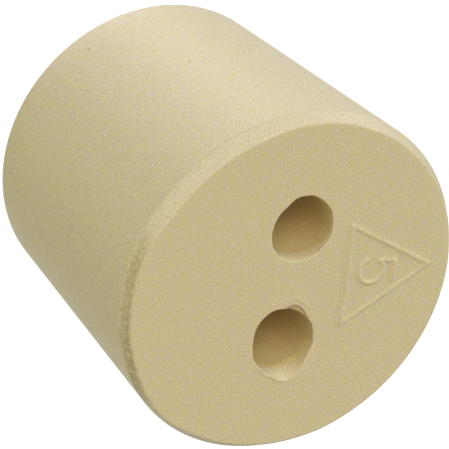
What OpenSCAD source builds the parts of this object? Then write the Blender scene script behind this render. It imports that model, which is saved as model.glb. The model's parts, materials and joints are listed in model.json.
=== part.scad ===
// Two-hole rubber stopper, size 5: a tapered plug moulded in one piece.
// It stands on its narrow end, centred on the origin, with +Z along its axis
// to the wide end. The holes lie along X and the size mark lies towards +Y.

/* [Plug] */
// Diameter of the wide end, just under its rim band
wide_d = 27; // [26:0.5:34]
// Diameter of the narrow end
narrow_d = 24; // [20:0.5:25.5]
// Height from the narrow end to the wide end's flat face
height = 24; // [20:1:32]
// Height of the sloping rim band round the wide end
rim_h = 0.92; // [0.4:0.01:1.5]
// How far the rim band slopes inwards
rim_in = 0.54; // [0.3:0.01:1]
// Radius of the rounded edge round the narrow end
foot_r = 0.4; // [0.2:0.1:1]

/* [Holes] */
// Diameter of both holes
hole_d = 5; // [4:0.5:6]
// Distance between the axes of the holes
hole_pitch = 9.1; // [8:0.1:11]
// Diameter of the first hole's eased mouth, on the wide end
mouth_a_d = 5.4; // [5.2:0.1:6]
// Diameter of the second hole's torn mouth, on the wide end
mouth_b_d = 6; // [5.2:0.1:7]
// Depth of both mouths
mouth_h = 0.5; // [0.2:0.1:1]

/* [Size mark] */
// Side of the raised triangle, over its corners
mark_side = 8.4; // [6:0.1:9]
// Gap between the triangle's tip and the edge of the flat face
mark_gap = 1.4; // [0.8:0.1:2]
// How far the mark sits to the side of the stopper's middle
mark_shift = 0.7; // [0:0.1:1.5]
// Turn of the mark about its own middle, in degrees
mark_turn = 3.3; // [0:0.1:10]
// Width of the raised lines
line_w = 0.3; // [0.2:0.05:0.5]
// Height of the raised lines
line_h = 0.15; // [0.1:0.05:0.4]
// Height of the figure between the middles of its lines
digit_h = 2.9; // [2:0.1:3.5]
// How far the figure sits above the middle of the triangle
digit_rise = 0.2; // [0:0.1:0.5]
// Diameter of the figure's bowl along the middle of its line
bowl_d = 2; // [1.6:0.1:2.4]

/* [Hidden] */
rubber_tan = "#C4B58A";
curve_fn = 96;
wide_r = wide_d / 2;
narrow_r = narrow_d / 2;
face_r = wide_r - rim_in;
overrun = 1;                  // cuts run this far past the faces that they open
root = 0.2;                   // raised lines start this far inside the face
side_slope = atan((wide_r - narrow_r) / (height - rim_h));
// middle of the rounded foot edge, tangent to the base and to the tapered side
foot_x = narrow_r + foot_r * (tan(side_slope) - 1 / cos(side_slope));
corner_r = mark_side / sqrt(3);          // middle of the triangle to its corners
mark_y = face_r - mark_gap - corner_r;
bowl_y = -(digit_h - bowl_d) / 2;        // middle of the bowl, from the middle of the figure
stem_x = -0.4 * bowl_d;
bowl_from = -148;                        // ends of the bowl's arc, anticlockwise from +X
bowl_to = 155;

// half section of the plug without its holes
module plug_section() {
    polygon([
        [0, 0],
        [foot_x, 0],
        [foot_x, foot_r],
        [foot_x + foot_r * cos(side_slope), foot_r * (1 - sin(side_slope))],
        [wide_r, height - rim_h],
        [face_r, height],
        [0, height]
    ]);
    translate([foot_x, foot_r])
        circle(r = foot_r, $fn = curve_fn);
}

// one hole through the plug, with a mouth that widens towards the wide end
module hole(x, mouth_d) {
    translate([x, 0, -overrun])
        cylinder(d = hole_d, h = height + 2 * overrun, $fn = curve_fn);
    translate([x, 0, height - mouth_h])
        cylinder(d1 = hole_d, d2 = mouth_d, h = mouth_h, $fn = curve_fn);
}

// a straight stroke between two points, in the plane of the mark
module stroke(from, to) {
    run = to - from;
    translate(from)
        rotate(atan2(run[1], run[0]))
            translate([0, -line_w / 2])
                square([norm(run), line_w]);
}

// plain outline of the triangle, one corner up
module triangle() {
    inner_r = corner_r - 2 * line_w;
    rotate(90)
        difference() {
            circle(r = corner_r, $fn = 3);
            circle(r = inner_r, $fn = 3);
        }
}

// the figure 5: a bar, a stem and an open bowl
module figure() {
    bar_y = digit_h / 2;
    bowl_r = bowl_d / 2;
    far = 2 * bowl_r;
    stem_foot = [bowl_r * cos(bowl_to), bowl_y + bowl_r * sin(bowl_to)];
    stroke([stem_x, bar_y], [bowl_r, bar_y]);
    stroke(stem_foot, [stem_x, bar_y]);
    translate([0, bowl_y])
        difference() {
            circle(r = bowl_r + line_w / 2, $fn = curve_fn);
            circle(r = bowl_r - line_w / 2, $fn = curve_fn);
            polygon([
                [0, 0],
                [far * cos(bowl_to), far * sin(bowl_to)],
                [-far, 0],
                [far * cos(bowl_from), far * sin(bowl_from)]
            ]);
        }
}

module size_mark() {
    translate([-mark_shift, mark_y, height - root])
        rotate(mark_turn)
            linear_extrude(root + line_h) {
                triangle();
                translate([0, digit_rise])
                    figure();
            }
}

module stopper() {
    color(rubber_tan) {
        difference() {
            rotate_extrude($fn = curve_fn) plug_section();
            hole(-hole_pitch / 2, mouth_a_d);
            hole(hole_pitch / 2, mouth_b_d);
        }
        size_mark();
    }
}

stopper();
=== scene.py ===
"""Size 5 rubber stopper with two holes: the moulded plug, its wear and its size mark, on a plain floor."""
import bmesh
import bpy
import json
import math
from mathutils import Matrix, Vector, noise


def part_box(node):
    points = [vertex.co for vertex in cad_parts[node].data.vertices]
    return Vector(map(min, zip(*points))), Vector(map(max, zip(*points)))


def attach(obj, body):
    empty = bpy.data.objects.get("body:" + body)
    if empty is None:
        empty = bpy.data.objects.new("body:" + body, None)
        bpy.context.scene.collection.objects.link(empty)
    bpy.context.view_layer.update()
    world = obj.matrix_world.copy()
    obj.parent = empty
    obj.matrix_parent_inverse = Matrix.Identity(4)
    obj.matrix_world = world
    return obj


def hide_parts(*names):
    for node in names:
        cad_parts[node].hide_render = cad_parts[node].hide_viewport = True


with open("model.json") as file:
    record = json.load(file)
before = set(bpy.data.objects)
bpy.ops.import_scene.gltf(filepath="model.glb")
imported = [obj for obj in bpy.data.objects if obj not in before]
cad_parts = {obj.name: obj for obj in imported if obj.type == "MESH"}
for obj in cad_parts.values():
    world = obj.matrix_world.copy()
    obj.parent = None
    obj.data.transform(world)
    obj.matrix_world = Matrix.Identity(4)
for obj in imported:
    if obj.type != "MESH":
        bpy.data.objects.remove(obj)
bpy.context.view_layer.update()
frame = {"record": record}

bl_info = {
    "name": "Rubber Stopper",
    "version": (1, 0, 0),
    "blender": (4, 5, 0),
    "location": "View3D > Sidebar > Stopper",
    "description": "Builds a two-hole laboratory rubber stopper, its material and a plain studio",
    "category": "Object",
}

MM = 0.001
BODY = "root"
NODE = "stopper"
BOX_LOW, BOX_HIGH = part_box(NODE)
WIDE_R = BOX_HIGH[0]
MOUNTS = {mount["name"]: mount for mount in frame["record"]["mounts"]}
HOLE_X = abs(MOUNTS["hole_a"]["pos_m"][0])
HOLE_R = MOUNTS["hole_a"]["dims"]["r_mm"] * MM
LINE_HEIGHT = 0.15 * MM      # the raised mark stands this far above the wide face
FACE_Z = BOX_HIGH[2] - LINE_HEIGHT
WELD = 0.002 * MM            # corners nearer than this are one corner


class StopperPlugSize(bpy.types.PropertyGroup):
    """Sizes of the tapered plug."""
    wide_d: bpy.props.FloatProperty(
        name="Wide end", description="Diameter of the wide end, just under its rim band",
        default=BOX_HIGH[0] - BOX_LOW[0], unit="LENGTH", subtype="DISTANCE")
    narrow_d: bpy.props.FloatProperty(
        name="Narrow end", description="Diameter of the narrow end",
        default=24.0 * MM, unit="LENGTH", subtype="DISTANCE")
    rim_height: bpy.props.FloatProperty(
        name="Rim band height", description="Height of the sloping band round the wide end",
        default=0.92 * MM, unit="LENGTH", subtype="DISTANCE")
    rim_slope: bpy.props.FloatProperty(
        name="Rim band slope", description="How far the rim band slopes inwards",
        default=0.54 * MM, unit="LENGTH", subtype="DISTANCE")
    foot_radius: bpy.props.FloatProperty(
        name="Foot edge", description="Radius of the rounded edge of the narrow end",
        default=0.4 * MM, unit="LENGTH", subtype="DISTANCE")
    steps: bpy.props.IntProperty(
        name="Steps", description="Steps round the plug", default=960, min=96)


class StopperMarkSize(bpy.types.PropertyGroup):
    """Sizes of the raised size mark."""
    side: bpy.props.FloatProperty(
        name="Triangle side", description="Side of the triangle along the middle of its lines",
        default=7.97 * MM, unit="LENGTH", subtype="DISTANCE")
    line: bpy.props.FloatProperty(
        name="Line width", description="Width of the raised lines at their foot",
        default=0.55 * MM, unit="LENGTH", subtype="DISTANCE")
    height: bpy.props.FloatProperty(
        name="Line height", description="Height of the raised lines over the wide face",
        default=0.092 * MM, unit="LENGTH", subtype="DISTANCE")
    base_height: bpy.props.FloatProperty(
        name="Base line height", description="Height of the line beside the holes, which stands prouder",
        default=LINE_HEIGHT, unit="LENGTH", subtype="DISTANCE")
    bowl_height: bpy.props.FloatProperty(
        name="Bowl height", description="Height of the figure's bowl",
        default=0.13 * MM, unit="LENGTH", subtype="DISTANCE")
    bar_height: bpy.props.FloatProperty(
        name="Bar height", description="Height of the figure's top bar",
        default=LINE_HEIGHT, unit="LENGTH", subtype="DISTANCE")
    stem_height: bpy.props.FloatProperty(
        name="Stem height", description="Height of the figure's stem",
        default=0.09 * MM, unit="LENGTH", subtype="DISTANCE")
    hollow: bpy.props.FloatProperty(
        name="Hollow", description="Depth of the shallow hollow beside the figure's bar",
        default=0.05 * MM, unit="LENGTH", subtype="DISTANCE")
    place: bpy.props.FloatVectorProperty(
        name="Place", description="Middle of the triangle on the wide face", size=2,
        default=(-0.64 * MM, 6.69 * MM), unit="LENGTH", subtype="TRANSLATION")
    turn: bpy.props.FloatProperty(
        name="Turn", description="Turn of the mark about its middle",
        default=math.radians(2.9), subtype="ANGLE")
    bowl: bpy.props.FloatProperty(
        name="Bowl radius", description="Radius of the figure's bowl along the middle of its line",
        default=1.0 * MM, unit="LENGTH", subtype="DISTANCE")


class StopperFinish(bpy.types.PropertyGroup):
    """Colours and grain of the rubber; each colour is an sRGB hex value."""
    cream: bpy.props.StringProperty(
        name="Cream", description="Paler patches of the rubber", default="#BEAC8B")
    straw: bpy.props.StringProperty(
        name="Straw", description="Yellower patches of the rubber", default="#BCB07A")
    # painted bounce light: the warmer, more saturated colour down in the holes stands in for the warm light
    # bounced inside them
    bore: bpy.props.StringProperty(
        name="Bore", description="Clean rubber inside the holes", default="#C6B174")
    # painted light: the paler colour of the mouths' lit side
    pale: bpy.props.StringProperty(
        name="Pale", description="Painted-lit rubber at the mouths of the holes", default="#CEBD91")
    cut: bpy.props.StringProperty(
        name="Cut", description="Rubber of the trimmed rim band", default="#BCB08C")
    # painted shade: the duller colour of the mouths' shaded -X side walls, not only their chips
    torn: bpy.props.StringProperty(
        name="Shaded mouth", description="Dull rubber in the torn chips", default="#B89F70")
    darkening: bpy.props.StringProperty(
        name="Olive darkening", description="Olive soil in the torn rim", default="#857232")
    speck: bpy.props.StringProperty(
        name="Speck", description="Dark specks in the side", default="#5A4A28")
    grain: bpy.props.FloatProperty(
        name="Grain", description="Width of the moulded grain",
        default=0.1 * MM, unit="LENGTH", subtype="DISTANCE")
    shred: bpy.props.FloatProperty(
        name="Shreds", description="Width of the torn rim's shreds",
        default=0.3 * MM, unit="LENGTH", subtype="DISTANCE")
    # painted light: how much deeper the pale colour runs down the mouths' lit side
    painted_lit: bpy.props.FloatProperty(
        name="Painted-lit mouth", description="How much deeper pale rubber reaches on the mouths' rubbed side",
        default=1.05 * MM, unit="LENGTH", subtype="DISTANCE")
    patch: bpy.props.FloatProperty(
        name="Patch", description="Width of the colour patches",
        default=0.42 * MM, unit="LENGTH", subtype="DISTANCE")


class StopperStage(bpy.types.PropertyGroup):
    """Camera and surround."""
    lens: bpy.props.FloatProperty(
        name="Lens", description="Focal length", default=307.0, unit="CAMERA")
    distance: bpy.props.FloatProperty(
        name="Distance", description="Camera to the point it looks at",
        default=284.55 * MM, unit="LENGTH", subtype="DISTANCE")
    azimuth: bpy.props.FloatProperty(
        name="Azimuth", description="Turn of the view about the upright axis, 0 looking along +Y",
        default=math.radians(-40.53), subtype="ANGLE")
    elevation: bpy.props.FloatProperty(
        name="Elevation", description="Height of the camera as an angle",
        default=math.radians(50.57), subtype="ANGLE")
    roll: bpy.props.FloatProperty(
        name="Roll", description="Turn of the camera about its own axis",
        default=math.radians(-132.88), subtype="ANGLE")
    aim: bpy.props.FloatVectorProperty(
        name="Aim", description="Point that the camera looks at",
        default=(0.54 * MM, 0.52 * MM, 12.61 * MM), unit="LENGTH", subtype="TRANSLATION")
    surround: bpy.props.FloatProperty(
        name="Surround", description="Brightness of the pale room all round", default=0.33, min=0.0)
    surround_tint: bpy.props.StringProperty(
        name="Surround tint", description="Tint of the room, as an sRGB hex value", default="#E1F2FF")


def linear(hex_colour):
    """sRGB hex value to linear RGBA."""
    channels = [int(hex_colour[i:i + 2], 16) / 255 for i in (1, 3, 5)]
    return [c / 12.92 if c <= 0.04045 else ((c + 0.055) / 1.055) ** 2.4 for c in channels] + [1.0]


def smooth_step(t):
    """Ease from 0 to 1 while t goes from 0 to 1."""
    t = min(max(t, 0.0), 1.0)
    return t * t * (3.0 - 2.0 * t)


def turn_between(angle, start):
    """Signed turn in degrees from one direction to another, within half a turn."""
    return (angle - start + 180.0) % 360.0 - 180.0


def on_circle(cx, cy, radius, turn):
    """Point on a circle, at a turn in degrees from +X."""
    return cx + radius * math.cos(math.radians(turn)), cy + radius * math.sin(math.radians(turn))


def hump(turned):
    """Smooth hump: 1 at 0, easing to 0 at 1 and beyond."""
    return math.cos(min(turned, 1.0) * math.pi / 2) ** 2


def swell(angle, peak, spread):
    """Smooth hump round a circle, 1 at its peak and 0 beyond its spread, in degrees."""
    return hump(abs(turn_between(angle, peak)) / spread)


def bulge(x, middle, width):
    """Smooth bump along a line, 1 at its middle."""
    return math.exp(-((x - middle) / width) ** 2)


def wander(angle, waves):
    """Uneven wave round a circle, between about -1 and 1."""
    turn = math.radians(angle)
    return noise.noise((waves / 3 * math.cos(turn), waves / 3 * math.sin(turn), waves)) * 2


# ---------------------------------------------------------------- profiles

def wire(bm, points):
    """Chain of edges through points given as (radius, height)."""
    verts = [bm.verts.new((x, 0.0, z)) for x, z in points]
    for start, end in zip(verts, verts[1:]):
        bm.edges.new((start, end))
    return verts


def round_corner(bm, vert, reach, segments):
    """Round one corner of a profile."""
    bmesh.ops.bevel(bm, geom=[vert], offset=reach, offset_type="OFFSET", affect="VERTICES",
                    segments=segments, profile=0.5, material=-1)


def split_edges(bm, longest):
    """Cut every edge into equal parts, no longer than `longest` says for the height of its middle."""
    for edge in list(bm.edges):
        middle = sum(v.co.z for v in edge.verts) / 2
        cuts = int(edge.calc_length() / longest(middle))
        if cuts:
            bmesh.ops.subdivide_edges(bm, edges=[edge], cuts=cuts)


def spin(bm, steps):
    """Turn a profile once round the upright axis."""
    bmesh.ops.spin(bm, geom=bm.verts[:] + bm.edges[:], cent=(0, 0, 0), axis=(0, 0, 1), dvec=(0, 0, 0),
                   angle=math.tau, steps=steps, use_merge=True, use_duplicate=False)


# ---------------------------------------------------------------- plug skin

FACE_RING = 12.0 * MM        # the plug's skin ends here on the wide face
BASE_RING = 10.5 * MM        # and here on the narrow end
EDGE_ROUND = 0.14 * MM       # the wide face's edge is rounded this much
CREASE_ROUND = 0.04 * MM     # and the crease at the rim band's foot this much
FINE_BELOW_BAND = 0.3 * MM   # the side has a ring of points this far under the band
BAND_RING = 0.075 * MM       # rings round the band and the wide face are no further apart than this
SIDE_RING = 2.5 * MM         # and rings round the side and the narrow end than this
RELIEF_REACH = 0.3 * MM      # the band's relief carries on this far over the wide face's edge
ON_FACE = 0.02               # points this near the wide face, in band heights, move as the face does

# how far the trimmed edge of the wide face stands outside its true circle: angle, reach in mm
TRIM = (
    (-180, -0.05), (-160, -0.22), (-140, -0.3), (-124, -0.32), (-110, 0.0),
    (-90, 0.07), (-75, 0.13), (-60, 0.18), (-45, 0.31), (-20, 0.02),
    (0, -0.02), (20, 0.04), (115, 0.08), (150, -0.03), (180, -0.05),
)
TORN_TRIM = (-72.0, 42.0)    # where the trimmed edge is torn: middle and spread in degrees
# the edge's ragged line: waves round the circle, reach in mm all round, and how much more where it is torn
RAGGED = ((13.0, 0.02, 0.04), (60.0, 0.0, 0.05), (150.0, 0.0, 0.05))

# relief of the rim band: height in mm, middle and spread in degrees, then place and width down the band,
# where 0 is its edge on the wide face and 1 its foot
BAND_RELIEF = {
    "edge bead": (0.015, -122.0, 30.0, -0.02, 0.1),
    "foot bead": (0.035, -128.0, 26.0, 0.66, 0.1),
    "torn cut": (-0.03, -76.0, 42.0, 0.42, 0.22),
    "hollow": (-0.03, -126.0, 24.0, 0.4, 0.25),
}


def trim_reach(angle):
    """Trimmed edge's reach at an angle, eased between the listed places, and ragged where it tore."""
    for (start, low), (end, high) in zip(TRIM, TRIM[1:]):
        if start <= angle <= end:
            even = low + (high - low) * smooth_step((angle - start) / (end - start))
    torn = swell(angle, *TORN_TRIM)
    ragged = sum((all_round + more * torn) * wander(angle, waves) for waves, all_round, more in RAGGED)
    return (even + ragged) * MM


def band_relief(angle, down):
    """Relief of the rim band, from its edge on the wide face (down 0) to its foot (down 1)."""
    return sum(high * swell(angle, middle, spread) * bulge(down, place, width)
               for high, middle, spread, place, width in BAND_RELIEF.values()) * MM


def plug_skin(size):
    """Side, rim band and foot edge, open on both ends."""
    wide_r = size.wide_d / 2
    foot_z = FACE_Z - size.rim_height
    edge_r = wide_r - size.rim_slope
    lean = (size.wide_d - size.narrow_d) / 2 / foot_z
    bm = bmesh.new()
    points = [
        (BASE_RING, 0.0),
        (size.narrow_d / 2, 0.0),
        (wide_r - FINE_BELOW_BAND * lean, foot_z - FINE_BELOW_BAND),
        (wide_r, foot_z),
        (edge_r, FACE_Z),
        (FACE_RING, FACE_Z),
    ]
    verts = wire(bm, points)
    round_corner(bm, verts[1], size.foot_radius, 4)
    round_corner(bm, verts[3], CREASE_ROUND, 2)
    round_corner(bm, verts[4], EDGE_ROUND, 4)
    split_edges(bm, lambda z: BAND_RING if z > foot_z - FINE_BELOW_BAND / 3 else SIDE_RING)
    spin(bm, size.steps)
    slope = math.atan2(size.rim_slope, size.rim_height)
    flat_r = edge_r - EDGE_ROUND
    for vert in bm.verts:
        radius = math.hypot(vert.co.x, vert.co.y)
        if vert.co.z < foot_z or radius < FACE_RING + WELD:
            continue
        angle = math.degrees(math.atan2(vert.co.y, vert.co.x))
        down = (FACE_Z - vert.co.z) / size.rim_height
        over_face = smooth_step((radius - FACE_RING) / (flat_r - FACE_RING))
        inward = over_face if down < ON_FACE else 1.0 - down
        relief = band_relief(angle, down) if radius > edge_r - RELIEF_REACH else 0.0
        new_r = min(radius + trim_reach(angle) * inward + relief * math.cos(slope), wide_r)
        vert.co.x *= new_r / radius
        vert.co.y *= new_r / radius
        vert.co.z += relief * math.sin(slope)
    return bm


# ---------------------------------------------------------------- hole skins

# For each mouth: the radius where its skin ends and the depth that its nicks reach (mm), its nicks and its
# shallow chips (peak, degrees before and after, reach in mm), and the lips raised beside it, or worn down
# below zero (peak, spread, distance out, height, width).
MOUTHS = {
    "hole_a": {
        "ring": 3.3, "depth": 0.5,
        "nicks": ((-168, 70, 34, 0.24), (0, 90, 90, 0.03)),
        "chips": (),
        "lips": (),
    },
    "hole_b": {
        "ring": 3.8, "depth": 1.3,
        "nicks": ((-148, 60, 70, 0.48), (5, 60, 55, 0.18), (19, 34, 50, 0.56), (72, 45, 35, 0.1)),
        "chips": ((172, 44, 28, 0.55),),
        "lips": ((-14, 56, 0.07, 0.07, 0.09), (165, 60, 0.4, 0.03, 0.16), (75, 50, 0.0, -0.07, 0.4)),
    },
}
HOLE_STEPS = 240
MOUTH_ROUND = 0.05 * MM      # the mouths' edges are rounded this much
FOOT_ROUND = 0.15 * MM       # and the holes' edges on the narrow end this much
FOOT_RING = 0.8 * MM         # a hole's skin reaches this far out from it on the narrow end
MOUTH_ZONE = 2.2 * MM        # the wall is uneven down to this depth
MOUTH_RING = 0.07 * MM       # rings in that part of it are no further apart than this
WALL_RING = 2.0 * MM         # and rings in the rest of the wall than this
NICK_CURVE = 1.4             # how fast a nick closes with depth: 1 is a straight slope
CHIP_DEPTH = 0.22 * MM       # the chips are steps this deep
CHIP_WALL = 0.07 * MM        # and their walls are this high
LIP_FADE = 0.2 * MM          # the lips fade out over this width at the skin's end
UNEVEN = 0.02 * MM           # the moulded wall wanders this much


def nick(angle, peak, before, after, reach):
    """Reach of one torn nick in a mouth, easing out over `before` degrees and back over `after`."""
    away = turn_between(angle, peak)
    return reach * hump(abs(away) / (before if away < 0 else after))


def mouth_reach(mouth, angle, depth):
    """How far a mouth opens past its bore at an angle and a depth under the wide face."""
    torn = sum(nick(angle, *n) for n in mouth["nicks"])
    torn *= max(1.0 - depth / (mouth["depth"] * MM), 0.0) ** NICK_CURVE
    chip = max([nick(angle, *c) for c in mouth["chips"]] + [0.0])
    chip *= smooth_step((CHIP_DEPTH - depth) / CHIP_WALL)
    return max(torn, chip) * MM


def lip_height(mouth, angle, out):
    """Height of the lips raised beside a mouth, a distance out from its edge."""
    return sum(high * swell(angle, peak, spread) * bulge(out / MM, place, width)
               for peak, spread, place, high, width in mouth["lips"]) * MM


def hole_skin(name):
    """One hole's wall and mouth, open at a ring on each end face."""
    mount = MOUNTS[name]
    mouth = MOUTHS[name]
    hole_r = mount["dims"]["r_mm"] * MM
    ring = mouth["ring"] * MM
    edge_r = hole_r + MOUTH_ROUND
    bm = bmesh.new()
    verts = wire(bm, [(ring, FACE_Z), (hole_r, FACE_Z), (hole_r, FACE_Z - MOUTH_ZONE), (hole_r, 0.0),
                      (hole_r + FOOT_RING, 0.0)])
    round_corner(bm, verts[3], FOOT_ROUND, 3)
    round_corner(bm, verts[1], MOUTH_ROUND, 3)
    split_edges(bm, lambda z: MOUTH_RING if z > FACE_Z - MOUTH_ZONE else WALL_RING)
    spin(bm, HOLE_STEPS)
    for vert in bm.verts:
        depth = FACE_Z - vert.co.z
        if depth > MOUTH_ZONE:
            continue
        radius = math.hypot(vert.co.x, vert.co.y)
        angle = math.degrees(math.atan2(vert.co.y, vert.co.x))
        uneven = UNEVEN * wander(angle, 9.0) * (1.0 - depth / MOUTH_ZONE)
        reach = mouth_reach(mouth, angle, max(depth, 0.0)) + uneven
        if radius > edge_r + WELD:
            out = (radius - edge_r) * (1.0 - reach / (ring - edge_r))
            vert.co.z += lip_height(mouth, angle, out) * smooth_step((ring - radius) / LIP_FADE)
            new_r = edge_r + reach + out
        else:
            vert.co.z += lip_height(mouth, angle, 0.0) * bulge(depth, 0.0, MOUTH_ROUND)
            new_r = radius + reach
        vert.co.x *= new_r / radius
        vert.co.y *= new_r / radius
    bmesh.ops.translate(bm, verts=bm.verts, vec=(mount["pos_m"][0], mount["pos_m"][1], 0.0))
    return bm


# ---------------------------------------------------------------- size mark

MARK_CELL = 0.055 * MM       # the mark's piece of face is a grid this fine
CORNERS = (90, 210, 330)     # directions of the triangle's corners from its middle
BOWL_MIDDLE = (-0.1 * MM, -0.27 * MM)    # middle of the figure's bowl, from the triangle's middle
BOWL_SPAN = (-153.0, 138.0)  # the bowl runs anticlockwise between these angles
BAR_RISE = 1.92 * MM         # the bar stands this far above the bowl's middle
BAR_START = -0.6             # and runs from here, in bowl radii from the bowl's middle,
BAR_END = 0.97               # to here
CREST, SKIRT = 0.8, 0.2      # shares of a raised line's height in its rounded crest and its low, wide skirt
MARK_MARGIN = 1.1            # the piece of face reaches this far past the triangle, in line widths
HOLLOW_BELOW_BAR = 0.8       # and the hollow lies this far under the figure's bar, in line widths


def distance_to_stroke(x, y, ax, ay, bx, by):
    """Distance to the straight line between two points."""
    dx, dy = bx - ax, by - ay
    t = ((x - ax) * dx + (y - ay) * dy) / (dx * dx + dy * dy)
    t = min(max(t, 0.0), 1.0)
    return math.hypot(x - ax - t * dx, y - ay - t * dy)


def distance_to_arc(x, y, cx, cy, radius, start, end):
    """Distance to an arc that runs anticlockwise from start to end, in degrees."""
    angle = math.degrees(math.atan2(y - cy, x - cx))
    if (angle - start) % 360.0 <= end - start:
        return abs(math.hypot(x - cx, y - cy) - radius)
    tips = [on_circle(cx, cy, radius, turn) for turn in (start, end)]
    return min(math.hypot(x - tx, y - ty) for tx, ty in tips)


def line_height(away, width, height):
    """Height of a raised line at a distance from its middle."""
    crest = CREST * smooth_step(1.0 - 2.0 * away / width)
    skirt = SKIRT * smooth_step(1.0 - away / width)
    return height * (crest + skirt)


def mark_grid(corner, margin):
    """Flat triangular piece of fine grid, a margin wider than the triangle with these corners."""
    half = corner + margin
    cells = int(2 * half / MARK_CELL)
    bm = bmesh.new()
    bmesh.ops.create_grid(bm, x_segments=cells, y_segments=cells, size=half)
    for turn in CORNERS:
        way = Vector((math.cos(math.radians(turn)), math.sin(math.radians(turn)), 0.0))
        for co, no in ((way * (corner + margin), way), (-way * (corner / 2 + margin), -way)):
            bmesh.ops.bisect_plane(bm, geom=bm.verts[:] + bm.edges[:] + bm.faces[:], dist=WELD,
                                   plane_co=co, plane_no=no, clear_outer=True)
    return bm


def mark_patch(mark):
    """Piece of the wide face that carries the raised triangle and the figure 5."""
    corner = mark.side / math.sqrt(3)
    bm = mark_grid(corner, MARK_MARGIN * mark.line)
    top, left, right = [on_circle(0.0, 0.0, corner, turn) for turn in CORNERS]
    bowl_x, bowl_y = BOWL_MIDDLE
    bar_y = bowl_y + BAR_RISE
    bar_start = bowl_x + BAR_START * mark.bowl
    hollow_y = bar_y - HOLLOW_BELOW_BAR * mark.line
    hollow = (bar_start + mark.line, hollow_y, bowl_x + mark.bowl, hollow_y)
    lines = (
        (*top, *left, mark.height),
        (*right, *top, mark.height),
        (*left, *right, mark.base_height),
        (bar_start, bar_y, bowl_x + BAR_END * mark.bowl, bar_y, mark.bar_height),
        (bar_start, bar_y, *on_circle(*BOWL_MIDDLE, mark.bowl, BOWL_SPAN[1]), mark.stem_height),
    )
    for vert in bm.verts:
        x, y = vert.co.x, vert.co.y
        heights = [line_height(distance_to_stroke(x, y, *ends), mark.line, high) for *ends, high in lines]
        from_bowl = distance_to_arc(x, y, *BOWL_MIDDLE, mark.bowl, *BOWL_SPAN)
        heights.append(line_height(from_bowl, mark.line, mark.bowl_height))
        vert.co.z = max(heights)
        vert.co.z -= line_height(distance_to_stroke(x, y, *hollow), mark.line, mark.hollow)
    place = Matrix.Translation((mark.place[0], mark.place[1], FACE_Z)) @ Matrix.Rotation(mark.turn, 4, "Z")
    bmesh.ops.transform(bm, matrix=place, verts=bm.verts)
    return bm


# ---------------------------------------------------------------- whole piece

def join(parts):
    """One bmesh from several."""
    whole = bmesh.new()
    for part in parts:
        mesh = bpy.data.meshes.new("part")
        part.to_mesh(mesh)
        part.free()
        whole.from_mesh(mesh)
        bpy.data.meshes.remove(mesh)
    return whole


def close_level(bm, level, normal):
    """Fill the flat area between the open rings that lie at one height."""
    rings = [e for e in bm.edges if e.is_boundary and all(abs(v.co.z - level) < WELD for v in e.verts)]
    bmesh.ops.triangle_fill(bm, use_beauty=True, use_dissolve=False, edges=rings, normal=normal)


def finished_object(name, bm, material):
    """Object of a finished bmesh, riding on the body and set on its material slot."""
    mesh = bpy.data.meshes.new(name)
    bm.to_mesh(mesh)
    bm.free()
    mesh.shade_smooth()
    mesh.materials.append(material)
    piece = bpy.data.objects.new(name, mesh)
    bpy.context.scene.collection.objects.link(piece)
    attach(piece, BODY)
    return piece


# ---------------------------------------------------------------- material

EASE = {"interpolation_type": "SMOOTHSTEP"}
BLEND = {"data_type": "RGBA"}
PLUS = {"operation": "ADD"}
MINUS = {"operation": "SUBTRACT"}
TIMES = {"operation": "MULTIPLY"}
SCALE = {"operation": "SCALE"}
DOT = {"operation": "DOT_PRODUCT"}
DISTANCE = {"operation": "DISTANCE"}
LENGTH = {"operation": "LENGTH"}

LIT_TURN = math.radians(-25.0)    # painted light: the mouths' pale colour runs deepest on this side of their holes, where the key light falls on the wall
DARKENING_TURN = math.radians(-82.0)      # the rim band is darkest on this side
SHRED_HEIGHT = 0.3 * MM              # the darker band's edges wander up and down by this much
HOLE_B_LIT_SHARE = 0.87                  # painted light: hole_b's mouth, on the +X side, has this share of hole_a's paleness on the lit side
HOLE_B_LIT_DEPTH = 0.7                  # and its painted light runs to this share of that depth
# dark specks pressed into the side: angle, height in mm, radius in mm
SPECKS = ((-142.8, 2.37, 0.13), (-163.4, 10.81, 0.13), (175.0, 9.52, 0.12))
SPECK_CORE = 0.4                     # a speck is darkest inside this share of its radius
SPECK_STRENGTH = 0.8                 # and there covers this much of the rubber's colour


def add_node(tree, kind, settings=None, **inputs):
    """Add a node, set its properties and fill its sockets with values or with other sockets."""
    node = tree.nodes.new(kind)
    for name, value in (settings or {}).items():
        setattr(node, name, value)
    for name, value in inputs.items():
        key = int(name[1:]) if name[0] == "i" and name[1:].isdigit() else name.replace("_", " ")
        socket = node.inputs[key]
        if isinstance(value, bpy.types.NodeSocket):
            tree.links.new(value, socket)
        else:
            socket.default_value = value
    return node


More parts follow.
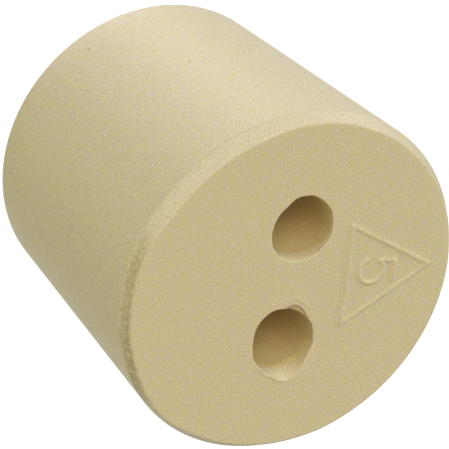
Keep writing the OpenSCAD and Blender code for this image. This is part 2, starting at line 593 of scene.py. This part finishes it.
def mouth_light_and_shade(tree, finish, coords, patches, colour):
    """Painted light on the mouths' lit side, painted shade on their shaded side and down in the holes."""
    place = add_node(tree, "ShaderNodeSeparateXYZ", Vector=coords)
    half = add_node(tree, "ShaderNodeMath", {"operation": "SIGN"}, i0=place.outputs["X"]).outputs[0]
    middle = add_node(tree, "ShaderNodeMath", TIMES, i0=half, i1=HOLE_X).outputs[0]
    across = add_node(tree, "ShaderNodeMath", MINUS, i0=place.outputs["X"], i1=middle).outputs[0]
    from_middle = add_node(tree, "ShaderNodeCombineXYZ", X=across, Y=place.outputs["Y"]).outputs[0]
    from_axis = add_node(tree, "ShaderNodeVectorMath", LENGTH, i0=from_middle).outputs["Value"]
    near_bore = add_node(tree, "ShaderNodeMapRange", EASE, Value=from_axis,
                         From_Min=HOLE_R + 1.0 * MM, From_Max=HOLE_R + 0.8 * MM).outputs[0]

    # painted light and shade: pale on the mouth's lit side, duller on its shaded side
    wall = add_node(tree, "ShaderNodeMapRange", EASE, Value=place.outputs["Z"],
                    From_Min=FACE_Z - 0.02 * MM, From_Max=FACE_Z - 0.12 * MM).outputs[0]
    at_mouth = add_node(tree, "ShaderNodeMath", TIMES, i0=near_bore, i1=wall).outputs[0]
    lit_half = add_node(tree, "ShaderNodeMapRange", EASE, Value=across,
                           From_Min=-0.8 * HOLE_R, From_Max=-0.2 * HOLE_R).outputs[0]
    lit_share = add_node(tree, "ShaderNodeMapRange", Value=half, From_Min=-1.0, From_Max=1.0,
                     To_Min=1.0, To_Max=HOLE_B_LIT_SHARE).outputs[0]
    lit_pale = add_node(tree, "ShaderNodeVectorMath", SCALE, i0=linear(finish.pale)[:3],
                      Scale=lit_share).outputs[0]
    mouth_colour = add_node(tree, "ShaderNodeMix", BLEND, i0=lit_half, i6=linear(finish.torn),
                            i7=lit_pale).outputs[2]
    colour = add_node(tree, "ShaderNodeMix", BLEND, i0=at_mouth, i6=colour, i7=mouth_colour).outputs[2]

    # painted bounce light: the holes' warmer colour starts deeper on the lit side, under the painted light
    lit_way = (math.cos(LIT_TURN), math.sin(LIT_TURN), 0)
    towards_lit = add_node(tree, "ShaderNodeVectorMath", DOT, i0=from_middle, i1=lit_way)
    painted_lit = add_node(tree, "ShaderNodeMapRange", Value=towards_lit.outputs["Value"], From_Min=0.0,
                      From_Max=HOLE_R, To_Min=0.0, To_Max=finish.painted_lit).outputs[0]
    share = add_node(tree, "ShaderNodeMapRange", Value=half, From_Min=-1.0, From_Max=1.0,
                     To_Min=1.0, To_Max=HOLE_B_LIT_DEPTH).outputs[0]
    deeper = add_node(tree, "ShaderNodeMath", TIMES, i0=painted_lit, i1=share).outputs[0]
    height = add_node(tree, "ShaderNodeMath", PLUS, i0=place.outputs["Z"], i1=deeper).outputs[0]
    below = add_node(tree, "ShaderNodeMapRange", EASE, Value=height, From_Min=FACE_Z - 0.2 * MM,
                     From_Max=FACE_Z - 0.5 * MM).outputs[0]
    mottled = add_node(tree, "ShaderNodeMapRange", Value=patches, From_Min=0.35, From_Max=0.65,
                       To_Min=0.75, To_Max=1.0).outputs[0]
    # painted bounce light: below the mouths the holes take the bore colour
    in_bore = add_node(tree, "ShaderNodeMath", TIMES, i0=near_bore, i1=below).outputs[0]
    in_bore = add_node(tree, "ShaderNodeMath", TIMES, i0=in_bore, i1=mottled).outputs[0]
    return add_node(tree, "ShaderNodeMix", BLEND, i0=in_bore, i6=colour, i7=linear(finish.bore)).outputs[2]


def trimmed_band(tree, finish, coords, colour):
    """The trimmed rim band is creamier than the moulded skin."""
    height = add_node(tree, "ShaderNodeSeparateXYZ", Vector=coords).outputs["Z"]
    level = add_node(tree, "ShaderNodeVectorMath", TIMES, i0=coords, i1=(1, 1, 0)).outputs[0]
    from_axis = add_node(tree, "ShaderNodeVectorMath", LENGTH, i0=level).outputs["Value"]
    over_foot = add_node(tree, "ShaderNodeMapRange", EASE, Value=height,
                         From_Min=FACE_Z - 1.0 * MM, From_Max=FACE_Z - 0.85 * MM).outputs[0]
    outer = add_node(tree, "ShaderNodeMapRange", EASE, Value=from_axis,
                     From_Min=WIDE_R - 1.1 * MM, From_Max=WIDE_R - 0.9 * MM).outputs[0]
    off_face = add_node(tree, "ShaderNodeMapRange", EASE, Value=height,
                        From_Min=FACE_Z - 0.01 * MM, From_Max=FACE_Z - 0.08 * MM).outputs[0]
    on_band = add_node(tree, "ShaderNodeMath", TIMES, i0=over_foot, i1=outer).outputs[0]
    on_band = add_node(tree, "ShaderNodeMath", TIMES, i0=on_band, i1=off_face).outputs[0]
    return add_node(tree, "ShaderNodeMix", BLEND, i0=on_band, i6=colour, i7=linear(finish.cut)).outputs[2]


def darkened_rim(tree, finish, coords, colour):
    """Darker olive colour on the torn part of the rim band, streaked and with ragged edges."""
    soil_way = (math.cos(DARKENING_TURN), math.sin(DARKENING_TURN), 0)
    towards = add_node(tree, "ShaderNodeVectorMath", DOT, i0=coords, i1=soil_way).outputs["Value"]
    torn = add_node(tree, "ShaderNodeMapRange", EASE, Value=towards,
                    From_Min=WIDE_R * 0.8, From_Max=WIDE_R * 0.94).outputs[0]
    level = add_node(tree, "ShaderNodeVectorMath", TIMES, i0=coords, i1=(1, 1, 0)).outputs[0]
    from_axis = add_node(tree, "ShaderNodeVectorMath", LENGTH, i0=level).outputs["Value"]
    at_edge = add_node(tree, "ShaderNodeMapRange", EASE, Value=from_axis,
                       From_Min=WIDE_R - 0.6 * MM, From_Max=WIDE_R - 0.35 * MM).outputs[0]
    shreds = add_node(tree, "ShaderNodeTexNoise", Vector=coords, Scale=1 / finish.shred, Detail=2.0,
                      Roughness=0.6).outputs["Fac"]
    ragged = add_node(tree, "ShaderNodeMath", TIMES, i0=shreds, i1=SHRED_HEIGHT).outputs[0]
    place = add_node(tree, "ShaderNodeSeparateXYZ", Vector=coords)
    height = add_node(tree, "ShaderNodeMath", PLUS, i0=place.outputs["Z"], i1=ragged).outputs[0]
    under_edge = add_node(tree, "ShaderNodeMapRange", EASE, Value=height,
                          From_Min=FACE_Z + 0.2 * MM, From_Max=FACE_Z + 0.05 * MM).outputs[0]
    over_foot = add_node(tree, "ShaderNodeMapRange", EASE, Value=height,
                         From_Min=FACE_Z - 0.85 * MM, From_Max=FACE_Z - 0.55 * MM).outputs[0]
    streaks = add_node(tree, "ShaderNodeMapRange", Value=shreds, From_Min=0.35, From_Max=0.65,
                       To_Min=0.36, To_Max=0.66).outputs[0]
    darkened = torn
    for limit in (under_edge, over_foot, at_edge, streaks):
        darkened = add_node(tree, "ShaderNodeMath", TIMES, i0=darkened, i1=limit).outputs[0]
    return add_node(tree, "ShaderNodeMix", BLEND, i0=darkened, i6=colour, i7=linear(finish.darkening)).outputs[2]


def pressed_specks(tree, finish, plug, coords, colour):
    """Dark specks pressed into the side in the mould."""
    taper = (plug.wide_d - plug.narrow_d) / 2
    for angle, up, radius in SPECKS:
        side_r = WIDE_R - taper * (1 - up * MM / FACE_Z)
        spot = (*on_circle(0.0, 0.0, side_r, angle), up * MM)
        away = add_node(tree, "ShaderNodeVectorMath", DISTANCE, i0=coords, i1=spot).outputs["Value"]
        dark = add_node(tree, "ShaderNodeMapRange", EASE, Value=away, From_Min=radius * MM,
                        From_Max=radius * SPECK_CORE * MM, To_Min=0.0, To_Max=SPECK_STRENGTH).outputs[0]
        colour = add_node(tree, "ShaderNodeMix", BLEND, i0=dark, i6=colour,
                          i7=linear(finish.speck)).outputs[2]
    return colour


def moulded_rubber(finish, plug):
    """Natural rubber filled with whiting, pressed in a mould: matt and tan, with a fine even grain."""
    material = bpy.data.materials.new("Moulded natural rubber")
    material.use_nodes = True
    tree = material.node_tree
    tree.nodes.clear()
    coords = add_node(tree, "ShaderNodeTexCoord").outputs["Object"]
    patches = add_node(tree, "ShaderNodeTexNoise", Vector=coords, Scale=1 / finish.patch, Detail=2.0,
                       Roughness=0.6).outputs["Fac"]
    yellow = add_node(tree, "ShaderNodeMapRange", EASE, Value=patches, From_Min=0.3,
                      From_Max=0.7).outputs[0]
    colour = add_node(tree, "ShaderNodeMix", BLEND, i0=yellow, i6=linear(finish.cream),
                      i7=linear(finish.straw)).outputs[2]
    # painted light and shade at the hole mouths, and painted bounce light down in the holes
    colour = mouth_light_and_shade(tree, finish, coords, patches, colour)
    colour = trimmed_band(tree, finish, coords, colour)
    colour = darkened_rim(tree, finish, coords, colour)
    colour = pressed_specks(tree, finish, plug, coords, colour)

    # real mould grain is a few hundredths of a millimetre, too fine to show, so it is drawn coarser
    grain = add_node(tree, "ShaderNodeTexNoise", Vector=coords, Scale=1 / finish.grain, Detail=1.0,
                     Roughness=0.5).outputs["Fac"]
    lightness = add_node(tree, "ShaderNodeMapRange", EASE, Value=grain, From_Min=0.2, From_Max=0.8,
                         To_Min=0.81, To_Max=1.19).outputs[0]
    shaded = add_node(tree, "ShaderNodeVectorMath", SCALE, i0=colour, Scale=lightness).outputs[0]
    bump = add_node(tree, "ShaderNodeBump", Height=grain, Strength=0.35, Distance=0.015 * MM)
    shader = add_node(tree, "ShaderNodeBsdfPrincipled", Base_Color=shaded, Normal=bump.outputs["Normal"],
                      Roughness=0.5, Specular_IOR_Level=0.4)
    add_node(tree, "ShaderNodeOutputMaterial", Surface=shader.outputs["BSDF"])
    return material


# ---------------------------------------------------------------- stage

FLOOR_R = 2.0                # radius of the light table in metres
SENSOR = 36.0                # width of the camera's sensor in mm

# name, direction it comes from (turn from +X, height; degrees), strength, width across in degrees, tint
SOFT_LIGHTS = (
    ("key softbox", 135, 10, 1.84, 30, "#EBEBFF"),
    ("fill softbox", 60, 20, 0.51, 40, "#D9E9FF"),
    ("overhead softbox", 178, 43, 1.18, 36, "#D3F5FF"),
    ("camera side softbox", -150, 55, 1.98, 40, "#FFE1CE"),
    ("end softbox", -50, 8, 0.99, 40, "#FFF9D7"),
    ("front table glow", -100, -25, 0.72, 40, "#F8FFFB"),
    ("end table glow", 25, -48, 0.3, 40, "#FFF6F0"),
    ("back table glow", 176, -69, 1.47, 46, "#FFF6FC"),
    ("low back glow", 110, -58, 0.38, 46, "#EAEDFF"),
)


def light_table():
    """Opal acrylic lit from below: evenly white, and it shows only a faint shadow."""
    material = bpy.data.materials.new("Opal acrylic light table")
    material.use_nodes = True
    shader = material.node_tree.nodes["Principled BSDF"]
    shader.inputs["Base Color"].default_value = linear("#616161")
    shader.inputs["Roughness"].default_value = 0.8
    shader.inputs["Emission Color"].default_value = linear("#FFFFFF")
    shader.inputs["Emission Strength"].default_value = 0.95
    return material


def lay_floor(scene):
    """Round light table that the lights from below shine through."""
    mesh = bpy.data.meshes.new("floor")
    bm = bmesh.new()
    bmesh.ops.create_circle(bm, cap_ends=True, segments=64, radius=FLOOR_R)
    bm.to_mesh(mesh)
    bm.free()
    mesh.materials.append(light_table())
    floor = bpy.data.objects.new("floor", mesh)
    scene.collection.objects.link(floor)
    floor.visible_diffuse = False
    floor.visible_glossy = False
    floor.visible_shadow = False


def light_room(scene, stage):
    """Even pale room all round."""
    world = bpy.data.worlds.new("studio")
    world.use_nodes = True
    surround = world.node_tree.nodes["Background"]
    surround.inputs["Color"].default_value = linear(stage.surround_tint)
    surround.inputs["Strength"].default_value = stage.surround
    scene.world = world


def hang_lights(scene):
    """Soft lights, each a wide sun."""
    for name, azimuth, elevation, strength, spread, tint in SOFT_LIGHTS:
        light = bpy.data.lights.new(name, "SUN")
        light.energy = strength
        light.color = linear(tint)[:3]
        light.angle = math.radians(spread)
        lamp = bpy.data.objects.new(name, light)
        scene.collection.objects.link(lamp)
        turn, height = math.radians(azimuth), math.radians(elevation)
        level = math.cos(height)
        way = Vector((math.cos(turn) * level, math.sin(turn) * level, math.sin(height)))
        lamp.rotation_euler = way.to_track_quat("Z", "Y").to_euler()


def place_camera(scene, stage):
    """Long lens over the wide end, turned so that the plug leans to the upper left."""
    cam = bpy.data.cameras.new("camera")
    cam.lens = stage.lens
    cam.sensor_width = SENSOR
    camera = bpy.data.objects.new("camera", cam)
    scene.collection.objects.link(camera)
    tilt = Matrix.Rotation(math.pi / 2 - stage.elevation, 4, "X")
    look = Matrix.Rotation(stage.azimuth, 4, "Z") @ tilt @ Matrix.Rotation(-stage.roll, 4, "Z")
    back = Matrix.Translation((0, 0, stage.distance))
    camera.matrix_world = Matrix.Translation(stage.aim) @ look @ back
    scene.camera = camera


# ---------------------------------------------------------------- add-on

class STOPPER_OT_plug(bpy.types.Operator):
    """Model the rubber plug with its holes and raised mark"""
    bl_idname = "stopper.plug"
    bl_label = "Build Plug"

    def execute(self, context):
        scene = context.scene
        bm = join([plug_skin(scene.stopper_plug), hole_skin("hole_a"), hole_skin("hole_b"),
                   mark_patch(scene.stopper_mark)])
        close_level(bm, FACE_Z, (0, 0, 1))
        close_level(bm, 0.0, (0, 0, -1))
        bmesh.ops.remove_doubles(bm, verts=bm.verts, dist=WELD)
        bmesh.ops.recalc_face_normals(bm, faces=bm.faces)
        if any(not e.is_manifold for e in bm.edges):
            raise RuntimeError("the plug's skin is not closed")
        rubber = moulded_rubber(scene.stopper_finish, scene.stopper_plug)
        piece = finished_object("rubber_plug", bm, rubber)
        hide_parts(NODE)
        return {"FINISHED"}


class STOPPER_OT_stage(bpy.types.Operator):
    """Set the floor, lights and camera"""
    bl_idname = "stopper.stage"
    bl_label = "Set Stage"

    def execute(self, context):
        scene = context.scene
        stage = scene.stopper_stage
        lay_floor(scene)
        light_room(scene, stage)
        hang_lights(scene)
        place_camera(scene, stage)
        scene.view_settings.view_transform = "Standard"
        return {"FINISHED"}


class STOPPER_PT_panel(bpy.types.Panel):
    """Sidebar panel with the build steps"""
    bl_label = "Rubber Stopper"
    bl_idname = "STOPPER_PT_panel"
    bl_space_type = "VIEW_3D"
    bl_region_type = "UI"
    bl_category = "Stopper"

    def draw(self, context):
        for operator in OPERATORS:
            self.layout.operator(operator.bl_idname)


GROUPS = {
    "stopper_plug": StopperPlugSize,
    "stopper_mark": StopperMarkSize,
    "stopper_finish": StopperFinish,
    "stopper_stage": StopperStage,
}
OPERATORS = (STOPPER_OT_plug, STOPPER_OT_stage)


def register():
    for cls in (*GROUPS.values(), *OPERATORS, STOPPER_PT_panel):
        bpy.utils.register_class(cls)
    for name, group in GROUPS.items():
        setattr(bpy.types.Scene, name, bpy.props.PointerProperty(type=group))


def unregister():
    for name in GROUPS:
        delattr(bpy.types.Scene, name)
    for cls in (STOPPER_PT_panel, *reversed(OPERATORS), *reversed(GROUPS.values())):
        bpy.utils.unregister_class(cls)


def main():
    register()
    bpy.ops.stopper.plug()
    bpy.ops.stopper.stage()


if __name__ == "__main__":
    main()
